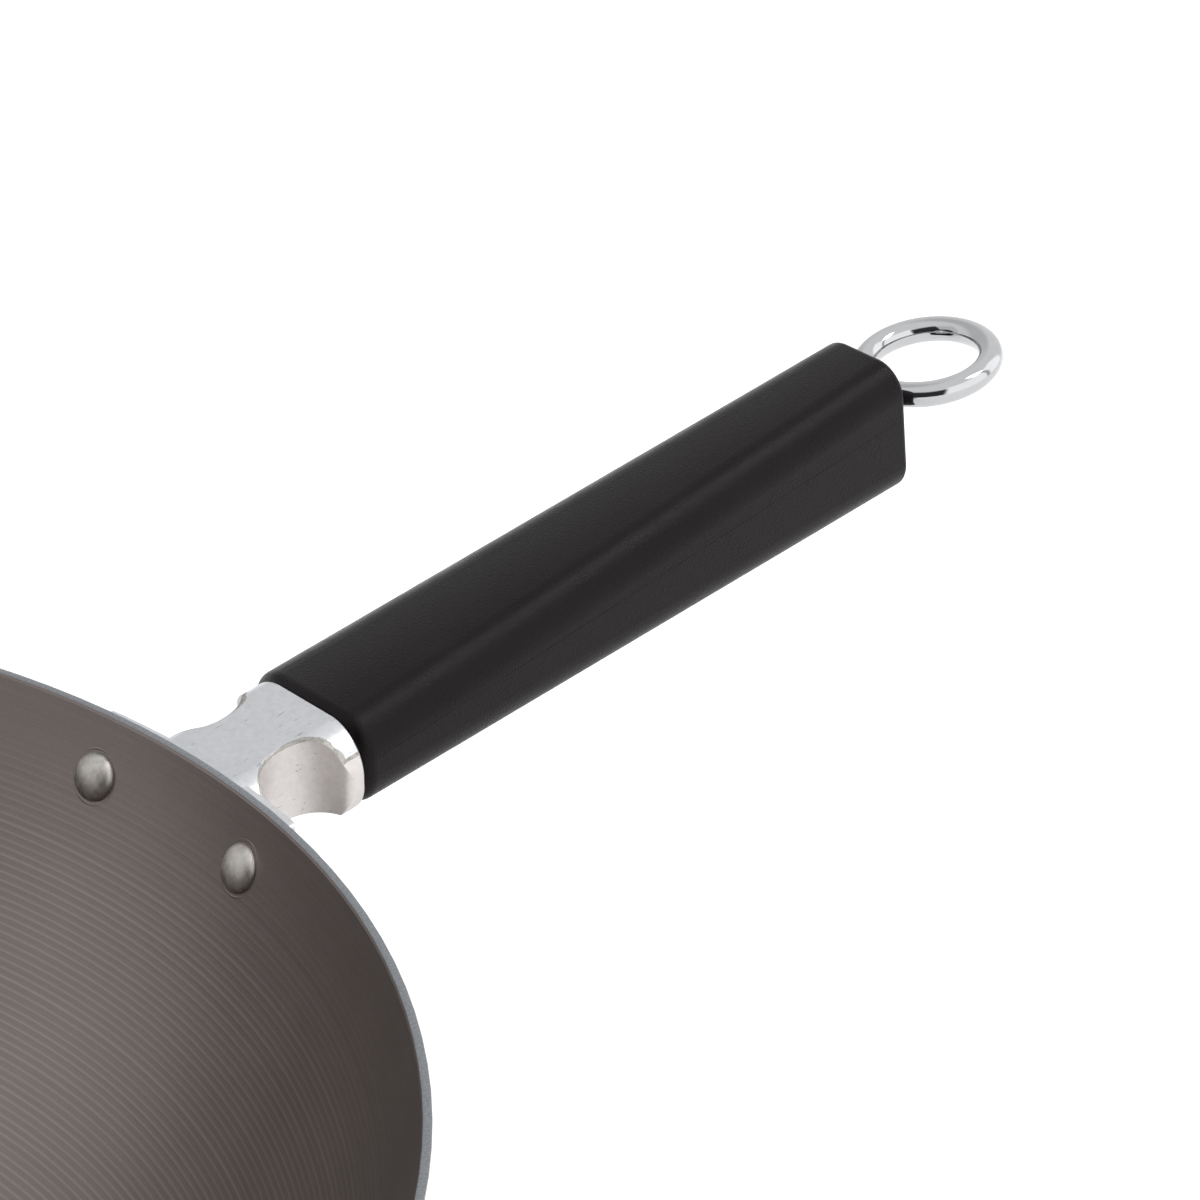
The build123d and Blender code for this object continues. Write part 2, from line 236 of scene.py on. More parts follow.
# Materials
def spun_carbon_steel():
    """Carbon steel sheet, spun and oiled: warm dark grey with fine turned lines round the axis and a soft,
    slightly patchy sheen. The thin film on it scatters a little of the light. The roller burnished the crests
    between its scallops, and they are also painted lighter: a painted highlight for their glint."""
    material, tree, shader = new_material("spun_carbon_steel")
    place = add(tree, "ShaderNodeTexCoord").outputs["Object"]
    flat = add(tree, "ShaderNodeVectorMath", {0: place, 1: (1, 1, 0)}, operation="MULTIPLY")
    radius = add(tree, "ShaderNodeVectorMath", {0: flat.outputs[0]}, operation="LENGTH").outputs["Value"]
    height = add(tree, "ShaderNodeSeparateXYZ", {0: place}).outputs["Z"]
    run = add(tree, "ShaderNodeMath", {0: radius, 1: height}, operation="ADD").outputs[0]
    fine = add(tree, "ShaderNodeTexNoise", {"W": run, "Scale": 1 / turning_line, "Detail": 2.0},
               noise_dimensions="1D").outputs["Fac"]
    broad = add(tree, "ShaderNodeTexNoise", {"W": run, "Scale": 1 / turning_band, "Detail": 3.0},
                noise_dimensions="1D").outputs["Fac"]
    patch = add(tree, "ShaderNodeTexNoise", {"Vector": place, "Scale": 1 / oil_patch, "Detail": 4.0},
                noise_dimensions="3D").outputs["Fac"]
    grain = add(tree, "ShaderNodeTexNoise", {"Vector": place, "Scale": 1 / steel_grain, "Detail": 3.0},
                noise_dimensions="3D").outputs["Fac"]
    lines = add(tree, "ShaderNodeMix", {0: turning_band_share, 2: fine, 3: broad}).outputs[0]
    tone = add(tree, "ShaderNodeMix", {0: oil_patch_share, 2: lines, 3: patch}).outputs[0]
    tone = add(tree, "ShaderNodeMix", {0: steel_grain_share, 2: tone, 3: grain}).outputs[0]
    spread = add(tree, "ShaderNodeMapRange", {"Value": tone, "From Min": 0.36, "From Max": 0.64})
    skin = add(tree, "ShaderNodeMix", {0: spread.outputs[0], 6: linear("#746c69"), 7: linear("#817976")},
               data_type="RGBA").outputs[2]
    # Painted highlight: crests get a lighter colour that stands in for their glint, as well as being
    # burnished
    scallop = add(tree, "ShaderNodeAttribute", attribute_name="scallop").outputs["Fac"]
    crest = add(tree, "ShaderNodeMapRange", {"Value": scallop, "From Min": 0.1, "From Max": 1.0,
                                             "To Max": crest_painted_highlight_share}).outputs[0]
    colour = add(tree, "ShaderNodeMix", {0: crest, 6: skin, 7: linear("#b5afab")},
                 data_type="RGBA").outputs[2]
    tree.links.new(colour, shader.inputs["Base Color"])
    sheen = add(tree, "ShaderNodeMapRange", {"Value": tone, "From Min": 0.3, "From Max": 0.7, "To Min": 0.29,
                                             "To Max": 0.36})
    tree.links.new(sheen.outputs[0], shader.inputs["Roughness"])
    relief = add(tree, "ShaderNodeBump", {"Height": lines, "Strength": 0.6, "Distance": turning_relief})
    tree.links.new(relief.outputs[0], shader.inputs["Normal"])
    shader.inputs["Metallic"].default_value = 0.85
    return material


def cut_steel():
    """Trimmed edge of the sheet, turned and deburred: bare grey steel with a fine grain."""
    material, tree, shader = new_material("cut_steel_edge")
    place = add(tree, "ShaderNodeTexCoord").outputs["Object"]
    grain = add(tree, "ShaderNodeTexNoise", {"Vector": place, "Scale": 1 / edge_grain,
                                             "Detail": 3.0}).outputs["Fac"]
    shade = add(tree, "ShaderNodeMapRange", {"Value": grain, "From Min": 0.35, "From Max": 0.65}).outputs[0]
    colour = add(tree, "ShaderNodeMix", {0: shade, 6: linear("#777b7f"), 7: linear("#8b8e92")},
                 data_type="RGBA").outputs[2]
    tree.links.new(colour, shader.inputs["Base Color"])
    relief = add(tree, "ShaderNodeBump", {"Height": grain, "Strength": 0.5, "Distance": edge_relief})
    tree.links.new(relief.outputs[0], shader.inputs["Normal"])
    shader.inputs["Metallic"].default_value = 1.0
    shader.inputs["Roughness"].default_value = 0.3
    return material


def cast_aluminium():
    """Die-cast aluminium: the upward faces are buffed and take a soft shine, the sides keep the mould's dull
    mottled skin. Along the edge of each scoop and across the collar's round shoulders a grey band is painted:
    partly the smeared burr the wheel left at the foot of what it reached, partly painted shade for the dark
    reflection there. The wheel also left a few short scratches."""
    material, tree, shader = new_material("die_cast_aluminium")
    coordinates = add(tree, "ShaderNodeTexCoord")
    place = coordinates.outputs["Object"]
    part = add(tree, "ShaderNodeSeparateXYZ", {0: place})
    up = add(tree, "ShaderNodeSeparateXYZ", {0: coordinates.outputs["Normal"]}).outputs["Z"]
    mottle = add(tree, "ShaderNodeTexNoise", {"Vector": place, "Scale": 1 / casting_mottle, "Detail": 6.0,
                                              "Roughness": 0.65}).outputs["Fac"]
    grain = add(tree, "ShaderNodeTexNoise", {"Vector": place, "Scale": 1 / casting_grain,
                                             "Detail": 2.0}).outputs["Fac"]
    stretch = (1 / scratch_length, 1 / scratch_width, 1 / scratch_width)
    drawn = add(tree, "ShaderNodeVectorMath", {0: place, 1: stretch}, operation="MULTIPLY").outputs[0]
    scratches = add(tree, "ShaderNodeTexNoise", {"Vector": drawn, "Scale": 1.0, "Detail": 1.0,
                                                 "Distortion": 0.6}).outputs["Fac"]
    scratch = add(tree, "ShaderNodeMapRange", {"Value": scratches, "From Min": 0.72,
                                                "From Max": 0.76}).outputs[0]

    # How far along a scoop towards the collar, and the distance out from its edge, both in plan
    scoop_middle = rim_radius + neck_reach - scoop_distance
    beyond = add(tree, "ShaderNodeMath", {0: part.outputs["X"], 1: scoop_middle},
                 operation="SUBTRACT").outputs[0]
    along = add(tree, "ShaderNodeMath", {0: beyond, 1: scoop_half_length}, operation="DIVIDE").outputs[0]
    aside = add(tree, "ShaderNodeMath", {0: part.outputs["Y"]}, operation="ABSOLUTE").outputs[0]
    inward = add(tree, "ShaderNodeMath", {0: aside, 1: scoop_side_reach}, operation="SUBTRACT").outputs[0]
    across = add(tree, "ShaderNodeMath", {0: inward, 1: scoop_radius}, operation="DIVIDE").outputs[0]
    plan = add(tree, "ShaderNodeCombineXYZ", {0: along, 1: across}).outputs[0]
    reach = add(tree, "ShaderNodeVectorMath", {0: plan}, operation="LENGTH").outputs["Value"]
    from_edge = add(tree, "ShaderNodeMath", {0: reach, 1: scoop_radius, 2: -scoop_radius},
                    operation="MULTIPLY_ADD").outputs[0]

    # Burr along the scoop's edge, wider near the collar, darkened further as painted shade
    #     # for the dark reflection beside the ridge
    uneven = add(tree, "ShaderNodeMapRange", {"Value": mottle, "From Min": 0.35, "From Max": 0.65,
                                              "To Min": 0.7, "To Max": 1.2}).outputs[0]
    widening = add(tree, "ShaderNodeMapRange", {"Value": along, "From Max": burr_and_shade_widest_share,
                                                "To Min": ridge_burr_and_shade, "To Max": collar_burr_and_shade}).outputs[0]
    burr_and_shade_width = add(tree, "ShaderNodeMath", {0: widening, 1: uneven}, operation="MULTIPLY").outputs[0]
    near_edge = add(tree, "ShaderNodeMath", {0: from_edge, 1: burr_and_shade_width}, operation="LESS_THAN").outputs[0]
    lowest_up = add(tree, "ShaderNodeMapRange", {"Value": along, "From Min": burr_and_shade_turn_shares[0],
                                                 "From Max": burr_and_shade_turn_shares[1],
                                                 "To Min": burr_and_shade_foot_share / 2,
                                                 "To Max": burr_and_shade_foot_share}).outputs[0]
    facing = add(tree, "ShaderNodeMath", {0: up, 1: lowest_up}, operation="GREATER_THAN").outputs[0]
    edge_burr_and_shade = add(tree, "ShaderNodeMath", {0: near_edge, 1: facing}, operation="MULTIPLY").outputs[0]

    # Burr across the collar's shoulder, at the foot of what the wheel reached, darkened further
    #     # as painted shade for the shoulder's dark reflection
    wavy_up = add(tree, "ShaderNodeMath", {0: mottle, 1: burr_and_shade_wave_share, 2: up},
                  operation="MULTIPLY_ADD").outputs[0]
    under = add(tree, "ShaderNodeMath", {0: wavy_up, 1: buffing_foot_share + burr_and_shade_wave_share / 2},
                operation="LESS_THAN").outputs[0]
    over = add(tree, "ShaderNodeMath", {0: wavy_up, 1: burr_and_shade_foot_share + burr_and_shade_wave_share / 2},
               operation="GREATER_THAN").outputs[0]
    collar = add(tree, "ShaderNodeMath", {0: along, 1: collar_share}, operation="GREATER_THAN").outputs[0]
    band = add(tree, "ShaderNodeMath", {0: under, 1: over}, operation="MULTIPLY").outputs[0]
    shoulder = add(tree, "ShaderNodeMath", {0: band, 1: collar}, operation="MULTIPLY").outputs[0]
    burr_and_painted_shade = add(tree, "ShaderNodeMath", {0: edge_burr_and_shade, 1: shoulder}, operation="MAXIMUM").outputs[0]
    buffing = (buffing_foot_share - buffing_soft_share, buffing_foot_share + buffing_soft_share)
    buffed = add(tree, "ShaderNodeMapRange", {"Value": up, "From Min": buffing[0],
                                              "From Max": buffing[1]}).outputs[0]

    tone = add(tree, "ShaderNodeMix", {0: casting_grain_share, 2: mottle, 3: grain}).outputs[0]
    spread = add(tree, "ShaderNodeMapRange", {"Value": tone, "From Min": 0.36, "From Max": 0.62}).outputs[0]
    top = add(tree, "ShaderNodeMix", {0: spread, 6: linear("#c4c6c9"), 7: linear("#d2d4d7")},
              data_type="RGBA").outputs[2]
    side = add(tree, "ShaderNodeMix", {0: spread, 6: linear("#cbc7c5"), 7: linear("#d8d4d2")},
               data_type="RGBA").outputs[2]
    # Grey of the burr band, darker than the skin: partly the burr, partly painted shade
    burr_and_shade_colour = add(tree, "ShaderNodeMix", {0: spread, 6: linear("#7b7874"), 7: linear("#b4b1ad")},
                data_type="RGBA").outputs[2]
    skin = add(tree, "ShaderNodeMix", {0: buffed, 6: side, 7: top}, data_type="RGBA").outputs[2]
    skin_with_painted_shade = add(tree, "ShaderNodeMix", {0: burr_and_painted_shade, 6: skin, 7: burr_and_shade_colour}, data_type="RGBA").outputs[2]
    scratched = add(tree, "ShaderNodeMath", {0: scratch, 1: scratch_colour_share},
                    operation="MULTIPLY").outputs[0]
    colour = add(tree, "ShaderNodeMix", {0: scratched, 6: skin_with_painted_shade, 7: linear("#8d8a87")},
                 data_type="RGBA").outputs[2]
    tree.links.new(colour, shader.inputs["Base Color"])
    shine = add(tree, "ShaderNodeMapRange", {"Value": buffed, "To Min": 0.50, "To Max": 0.27}).outputs[0]
    sheen = add(tree, "ShaderNodeMix", {0: burr_and_painted_shade, 2: shine, 3: burr_and_shade_roughness}).outputs[0]
    sheen = add(tree, "ShaderNodeMath", {0: mottle, 1: mottle_roughness, 2: sheen},
                operation="MULTIPLY_ADD").outputs[0]
    tree.links.new(sheen, shader.inputs["Roughness"])
    pitted = add(tree, "ShaderNodeMix", {0: casting_pit_share, 2: mottle, 3: grain}).outputs[0]
    scored = add(tree, "ShaderNodeMath", {0: scratch, 1: -scratch_depth_share, 2: pitted},
                 operation="MULTIPLY_ADD").outputs[0]
    relief = add(tree, "ShaderNodeBump", {"Height": scored, "Strength": 0.5, "Distance": casting_relief})
    tree.links.new(relief.outputs[0], shader.inputs["Normal"])
    shader.inputs["Metallic"].default_value = 1.0
    return material


def phenolic():
    """Black phenolic resin from a spark-eroded mould: nearly black with a trace of warmth, and a fine pebbled
    satin skin that breaks up its highlights. Its top is slightly crowned."""
    material, tree, shader = new_material("moulded_phenolic")
    place = add(tree, "ShaderNodeTexCoord").outputs["Object"]
    grain = add(tree, "ShaderNodeTexNoise", {"Vector": place, "Scale": 1 / moulding_grain, "Detail": 3.0,
                                             "Roughness": 0.6}).outputs["Fac"]
    cloud = add(tree, "ShaderNodeTexNoise", {"Vector": place, "Scale": 1 / moulding_cloud,
                                             "Detail": 4.0}).outputs["Fac"]
    tone = add(tree, "ShaderNodeMix", {0: moulding_grain_share, 2: cloud, 3: grain}).outputs[0]
    spread = add(tree, "ShaderNodeMapRange", {"Value": tone, "From Min": 0.36, "From Max": 0.64}).outputs[0]
    colour = add(tree, "ShaderNodeMix", {0: spread, 6: linear("#080607"), 7: linear("#0f0c0e")},
                 data_type="RGBA").outputs[2]
    tree.links.new(colour, shader.inputs["Base Color"])
    sheen = add(tree, "ShaderNodeMapRange", {"Value": tone, "From Min": 0.36, "From Max": 0.64,
                                             "To Min": 0.26, "To Max": 0.38}).outputs[0]
    tree.links.new(sheen, shader.inputs["Roughness"])
    aside = add(tree, "ShaderNodeSeparateXYZ", {0: place}).outputs["Y"]
    square = add(tree, "ShaderNodeMath", {0: aside, 1: aside}, operation="MULTIPLY").outputs[0]
    fall = add(tree, "ShaderNodeMath", {0: square, 1: -1 / (2 * crown_radius)},
               operation="MULTIPLY").outputs[0]
    crown = add(tree, "ShaderNodeBump", {"Height": fall, "Strength": 1.0, "Distance": 1.0}).outputs[0]
    relief = add(tree, "ShaderNodeBump", {"Height": grain, "Strength": 0.8, "Distance": moulding_relief,
                                          "Normal": crown})
    tree.links.new(relief.outputs[0], shader.inputs["Normal"])
    shader.inputs["Specular IOR Level"].default_value = 0.14
    shader.inputs["Specular Tint"].default_value = linear("#fff4fb")
    return material


def chrome():
    """Chromium plate over bright nickel: a near mirror, with a trace of waviness and of polishing haze."""
    material, tree, shader = new_material("chrome_plate")
    place = add(tree, "ShaderNodeTexCoord").outputs["Object"]
    haze = add(tree, "ShaderNodeTexNoise", {"Vector": place, "Scale": 1 / plating_haze,
                                            "Detail": 5.0}).outputs["Fac"]
    sheen = add(tree, "ShaderNodeMapRange", {"Value": haze, "From Min": 0.3, "From Max": 0.7, "To Min": 0.05,
                                             "To Max": 0.09}).outputs[0]
    colour = add(tree, "ShaderNodeMix", {0: haze, 6: linear("#b4b5b7"), 7: linear("#bdbec0")},
                 data_type="RGBA").outputs[2]
    tree.links.new(colour, shader.inputs["Base Color"])
    tree.links.new(sheen, shader.inputs["Roughness"])
    relief = add(tree, "ShaderNodeBump", {"Height": haze, "Strength": 0.3, "Distance": plating_relief})
    tree.links.new(relief.outputs[0], shader.inputs["Normal"])
    shader.inputs["Metallic"].default_value = 1.0
    return material


def rivet_steel():
    """Solid rivets of soft steel, tumbled before they were set: satin grey with small dents and scuffs."""
    material, tree, shader = new_material("tumbled_rivet_steel")
    place = add(tree, "ShaderNodeTexCoord").outputs["Object"]
    scuff = add(tree, "ShaderNodeTexNoise", {"Vector": place, "Scale": 1 / rivet_scuff, "Detail": 5.0,
                                             "Roughness": 0.6}).outputs["Fac"]
    fine = add(tree, "ShaderNodeTexNoise", {"Vector": place, "Scale": 1 / rivet_grain,
                                            "Detail": 2.0}).outputs["Fac"]
    spread = add(tree, "ShaderNodeMapRange", {"Value": scuff, "From Min": 0.35, "From Max": 0.65}).outputs[0]
    colour = add(tree, "ShaderNodeMix", {0: spread, 6: linear("#aba7a2"), 7: linear("#c2beba")},
                 data_type="RGBA").outputs[2]
    tree.links.new(colour, shader.inputs["Base Color"])
    sheen = add(tree, "ShaderNodeMapRange", {"Value": scuff, "From Min": 0.3, "From Max": 0.7, "To Min": 0.40,
                                             "To Max": 0.50}).outputs[0]
    tree.links.new(sheen, shader.inputs["Roughness"])
    dents = add(tree, "ShaderNodeMix", {0: rivet_grain_share, 2: scuff, 3: fine}).outputs[0]
    relief = add(tree, "ShaderNodeBump", {"Height": dents, "Strength": 0.5, "Distance": rivet_relief})
    tree.links.new(relief.outputs[0], shader.inputs["Normal"])
    shader.inputs["Metallic"].default_value = 1.0
    return material


# Meshes
def surface_of_rows(name, rows):
    """Mesh through rows of points, each row a ring. A row of one point closes the surface."""
    vertices = [point for row in rows for point in row]
    starts = []
    total = 0
    for row in rows:
        starts.append(total)
        total += len(row)
    faces = []
    for here, there, start, next_start in zip(rows, rows[1:], starts, starts[1:]):
        count = max(len(here), len(there))
        for column in range(count):
            after = (column + 1) % count
            if len(here) == 1:
                faces.append((start, next_start + after, next_start + column))
            elif len(there) == 1:
                faces.append((start + column, start + after, next_start))
            else:
                faces.append((start + column, start + after, next_start + after, next_start + column))
    mesh = bpy.data.meshes.new(name)
    mesh.from_pydata(vertices, [], faces)
    mesh.polygons.foreach_set("use_smooth", [True] * len(mesh.polygons))
    mesh.update()
    return mesh


def turned(profile, columns, place=Matrix.Identity(4)):
    """Rows of a turned shape: a profile of radius and height, swept round the local Z axis."""
    rows = []
    for radius, height in profile:
        count = columns if radius > 0 else 1
        angles = [2 * pi * k / columns for k in range(count)]
        rows.append([place @ Vector((radius * cos(angle), radius * sin(angle), height)) for angle in angles])
    return rows


def show(name, mesh, materials, body):
    """Put a mesh in the scene as a piece that rides on a body and takes its finish from a slot."""
    piece = bpy.data.objects.new(name, mesh)
    bpy.context.scene.collection.objects.link(piece)
    for material in materials:
        mesh.materials.append(material)
    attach(piece, body)
    return piece


# Bowl
bowl_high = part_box("wok_body")[1]
rim_radius = bowl_high[0]
wok_height = bowl_high[2]


def wall_sphere():
    """Radius of the wall's outer sphere and the height of its centre."""
    reach = (rim_radius**2 + wok_height**2 - base_radius**2) / (2 * knuckle_radius)
    steepness = (wok_height - knuckle_radius) / knuckle_radius
    square = steepness**2 - 1
    half_linear = reach * steepness - wok_height
    constant = reach**2 - rim_radius**2 - wok_height**2
    height = (half_linear - sqrt(half_linear**2 - square * constant)) / square
    return reach - steepness * height, height


wall_radius, sphere_height = wall_sphere()
inner_radius = wall_radius - sheet
wall_angle = atan2(knuckle_radius - sphere_height, base_radius)


def bowl_arcs(depth):
    """The knuckle and the wall at a depth in from the outer face: centre, radius, first and last angle."""
    rim_reach = sqrt((wall_radius - depth)**2 - (sphere_height - wok_height)**2)
    rim_angle = atan2(wok_height - sphere_height, rim_reach)
    return ((base_radius, knuckle_radius, knuckle_radius - depth, -pi / 2, wall_angle),
            (0.0, sphere_height, wall_radius - depth, wall_angle, rim_angle))


def scalloped_wall():
    """Inner face from the base to the rim. Each turn of the roller is a few rows of one scallop. Each row has
    its radius, its height and how near it is to a crest."""
    arcs = bowl_arcs(sheet)
    lengths = [radius * (end - start) for x, z, radius, start, end in arcs]
    rows = []
    run = 0.0
    turn = 0
    while run < sum(lengths):
        drift = noise.noise(Vector((turn / grooves_per_drift, 0, 0)))
        strength = 1 + depth_spread_share * noise.noise(Vector((turn / grooves_per_depth, depth_row, 0)))
        pitch = groove_pitch * (1 + pitch_spread_share * drift)
        for k in range(groove_rows):
            here = run + pitch * k / groove_rows
            if here > sum(lengths):
                break
            x, z, radius, start, end = arcs[here > lengths[0]]
            angle = start + (here - lengths[0] * (here > lengths[0])) / radius
            to_rim = sum(lengths) - here
            fade = min(max((to_rim - plain_band) / groove_fade, least_groove_share), 1.0)
            crest = strength * fade * abs(2 * k / groove_rows - 1)**crest_power
            inward = radius - groove_depth * crest
            rows.append((x + inward * cos(angle), z + inward * sin(angle), crest))
        run += pitch
        turn += 1
    return rows


def bowl_profile():
    """Closed line of the sheet from the middle of the outside, over the rounded rim, to the middle inside."""
    inside = [(base_radius * k / base_rows, sheet, 0.0) for k in range(base_rows)] + scalloped_wall()
    inner_edge = sqrt(inner_radius**2 - (sphere_height - wok_height)**2)
    profile = [point for point in inside if point[1] < wok_height - rim_inner_rounding]
    for middle, rounding, start in ((inner_edge + rim_inner_rounding, rim_inner_rounding, pi),
                                    (rim_radius - rim_outer_rounding, rim_outer_rounding, pi / 2)):
        for k in range(rim_arc_steps + 1):
            angle = start - pi / 2 * k / rim_arc_steps
            height = wok_height - rounding + rounding * sin(angle)
            profile.append((middle + rounding * cos(angle), height, 0.0))
    outside = [(base_radius * k / base_rows, 0.0, 0.0) for k in range(base_rows + 1)]
    for x, z, radius, start, end in bowl_arcs(0.0):
        for k in range(1, outside_rows // 2 + 1):
            angle = start + (end - start) * k * 2 / outside_rows
            outside.append((x + radius * cos(angle), z + radius * sin(angle), 0.0))
    profile += [point for point in reversed(outside) if point[1] < wok_height - rim_outer_rounding]
    return profile[::-1]


def spun_bowl(steel, edge):
    """The bowl in one closed mesh. Its rim's flat top shows the bare cut edge of the sheet."""
    profile = bowl_profile()
    rows = turned([point[:2] for point in profile], bowl_columns)
    mesh = surface_of_rows("spun_bowl", rows)
    scallop = mesh.attributes.new("scallop", "FLOAT", "POINT")
    scallop.data.foreach_set("value", [point[2] for point, row in zip(profile, rows) for place in row])
    piece = show("spun_bowl", mesh, [steel, edge], "wok")
    for polygon in mesh.polygons:
        if polygon.center.z > wok_height - rim_outer_rounding and polygon.normal.z > rim_top_share:
            polygon.material_index = 1
    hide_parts("wok_body")


def rivet_places():
    """Place of each rivet on the wall's inner face, its Z pointing into the bowl."""
    centre = Vector((0, 0, sphere_height))
    height = wok_height - rivet_drop
    reach = sqrt(wall_radius**2 - (sphere_height - height)**2)
    places = []
    for side in (1, -1):
        for lateral in (-rivet_spacing / 2, rivet_spacing / 2):
            outward = (Vector((side * sqrt(reach**2 - lateral**2), lateral, height)) - centre).normalized()
            turn = (-outward).to_track_quat("Z", "Y").to_matrix().to_4x4()
            places.append(Matrix.Translation(centre + outward * inner_radius) @ turn)
    return places


def set_rivets(steel):
    """Rivets with domed heads inside the bowl and lower tails behind the flanges, each turned whole."""
    profile = [(0.0, -rivet_grip_length - rivet_tail_height)]
    for radius, height, foot, below in ((rivet_tail_radius, rivet_tail_height, -rivet_grip_length, True),
                                        (rivet_head_radius, rivet_head_height, -lip_sink, False)):
        angles = [pi / 2 * k / dome_steps for k in range(1, dome_steps + 1)]
        dome = [(radius * sin(angle), height * cos(angle)) for angle in angles]
        if below:
            profile += [(across, foot - along) for across, along in dome] + [(rivet_shank_radius, foot)]
        else:
            profile += [(rivet_shank_radius, foot)] + [(across, foot + along) for across, along in dome[::-1]]
    profile.append((0.0, rivet_head_height - lip_sink))
    kinds = [(owner, number) for owner in ("handle", "helper") for number in (1, 2)]
    for place, (owner, number) in zip(rivet_places(), kinds):
        name = f"{owner}_rivet_{number}"
        mesh = surface_of_rows(name, turned(profile, rivet_columns, place))
        piece = show(name, mesh, [steel], "wok")
        if number == 1:
            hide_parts(f"{owner}_rivets")


def rivet_lips(steel):
    """Low round lip in the sheet about each rivet head, where closing the rivet pressed the head down."""
    profile = []
    for k in range(lip_rows + 1):
        share = k / lip_rows
        radius = lip_radius + lip_width * (0.5 - share)
        sag = radius**2 / (2 * inner_radius)
        profile.append((radius, sag - lip_sink + (lip_height + lip_sink) * sin(pi * share)))
    profile.append(profile[0])
    for number, place in enumerate(rivet_places(), 1):
        name = f"rivet_lip_{number}"
        mesh = surface_of_rows(name, turned(profile, lip_columns, place))
        show(name, mesh, [steel], "wok")


# Eye bolt
joint = next(j for j in frame["record"]["behaviour"]["joints"] if j["name"] == "eye_bolt_turn")
rod_start = Vector(joint["pos_m"])
rod_direction = Vector(joint["axis"]).normalized()
bolt_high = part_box("hanging_eye_bolt")[1]


def ring_centre():
    """Centre of the ring, from how far the bolt reaches."""
    x = bolt_high[0] - wire_radius - ring_radius * rod_direction.x
    return rod_start + rod_direction * ((x - rod_start.x) / rod_direction.x)


def bolt_frame():
    """Place at the rod's start, with Z along the rod and X to the side, turned by the ring's tilt."""
    side = Vector((0, 1, 0))
    up = rod_direction.cross(side)
    turn = Matrix((side, up, rod_direction)).transposed().to_4x4()
    return Matrix.Translation(rod_start) @ turn @ Matrix.Rotation(radians(ring_tilt), 4, "Z")


def ring_rows(place, distance):
    """Rows of the round wire, bent to a ring that lies flat in line with the rod."""
    rows = []
    for column in range(ring_columns + 1):
        turn = 2 * pi * column / ring_columns
        out = Vector((sin(turn), 0, -cos(turn)))
        middle = Vector((0, 0, distance)) + out * ring_radius
        row = []
        for k in range(wire_columns):
            angle = 2 * pi * k / wire_columns
            row.append(place @ (middle + wire_radius * (out * cos(angle) + Vector((0, 1, 0)) * sin(angle))))
        rows.append(row)
    return rows


def rod_rows(place, distance):
    """Rows of the rod: a rolled thread, the plain shank, and a flare where it runs into the ring."""
    start = tenon_length - thread_length
    end = distance - ring_radius
    rows = [[place @ Vector((0, 0, start))]]
    count = round((thread_length + thread_pitch) / rod_step)
    heights = [start + k * rod_step for k in range(count)]
    heights += [tenon_length + thread_pitch, end - neck_flare_length]
    heights += [end - neck_flare_length * (1 - k / flare_steps) for k in range(1, flare_steps + 1)]
    for height in heights:
        row = []
        for k in range(rod_columns):
            angle = 2 * pi * k / rod_columns
            radius = wire_radius
            if height < tenon_length:
                share = (height / thread_pitch - k / rod_columns) % 1.0
                taper = min((height - start) / thread_pitch, 1.0)
                radius = thread_root + (thread_radius - thread_root) * abs(2 * share - 1) * taper
            near_ring = max(0.0, 1 - (end - height) / neck_flare_length)
            radius += neck_flare * near_ring**2
            row.append(place @ Vector((radius * cos(angle), radius * sin(angle), height)))
        rows.append(row)
    rows.append([place @ Vector((0, 0, end))])
    return rows


def hanging_eye(plate):
    """The ring, and the rod that runs through the grip to the bracket's tenon."""
    place = bolt_frame()
    distance = (ring_centre() - rod_start).length
    ring = surface_of_rows("eye_ring", ring_rows(place, distance))
    eye = show("eye_ring", ring, [plate], "eye_bolt")
    rod = surface_of_rows("eye_rod", rod_rows(place, distance))
    show("eye_rod", rod, [plate], "eye_bolt")
    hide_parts("hanging_eye_bolt")


# Grip
def parting_lines(resin):
    """Fine raised line along both sides of the grip, where the halves of its mould met."""
    grip = frame["nodes"]["handle_grip"]
    corners = [vertex.co for vertex in grip.data.vertices]
    tree = BVHTree.FromPolygons(corners, [polygon.vertices for polygon in grip.data.polygons])
    low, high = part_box("handle_grip")
    length = high[0] - low[0] - 2 * parting_end_gap
    for name, side in (("left", 1), ("right", -1)):
        points = []
        for k in range(parting_points + 1):
            x = low[0] + parting_end_gap + length * k / parting_points
            top = tree.ray_cast(Vector((x, 0, high[2] + sheet)), Vector((0, 0, -1)))[0]
            bottom = tree.ray_cast(Vector((x, 0, low[2] - sheet)), Vector((0, 0, 1)))[0]
            z = bottom.z + (top.z - bottom.z) * parting_height_share
            hit = tree.ray_cast(Vector((x, side * rim_radius, z)), Vector((0, -side, 0)))[0]
            points.append(hit - Vector((0, side * parting_sink, 0)))
        curve = bpy.data.curves.new(f"grip_parting_{name}", "CURVE")
        curve.dimensions = "3D"
        curve.bevel_depth = parting_radius
        curve.bevel_resolution = 2
        curve.use_fill_caps = True
        spline = curve.splines.new("POLY")
        spline.points.add(len(points) - 1)
        for place, point in zip(spline.points, points):
            place.co = (*point, 1)
        line = bpy.data.objects.new(f"grip_parting_{name}", curve)
        bpy.context.scene.collection.objects.link(line)
        curve.materials.append(resin)
        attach(line, "wok")


def dress(node, material):
    """Give a solid of the frame its material."""
    for slot in frame["nodes"][node].material_slots:
        slot.material = material


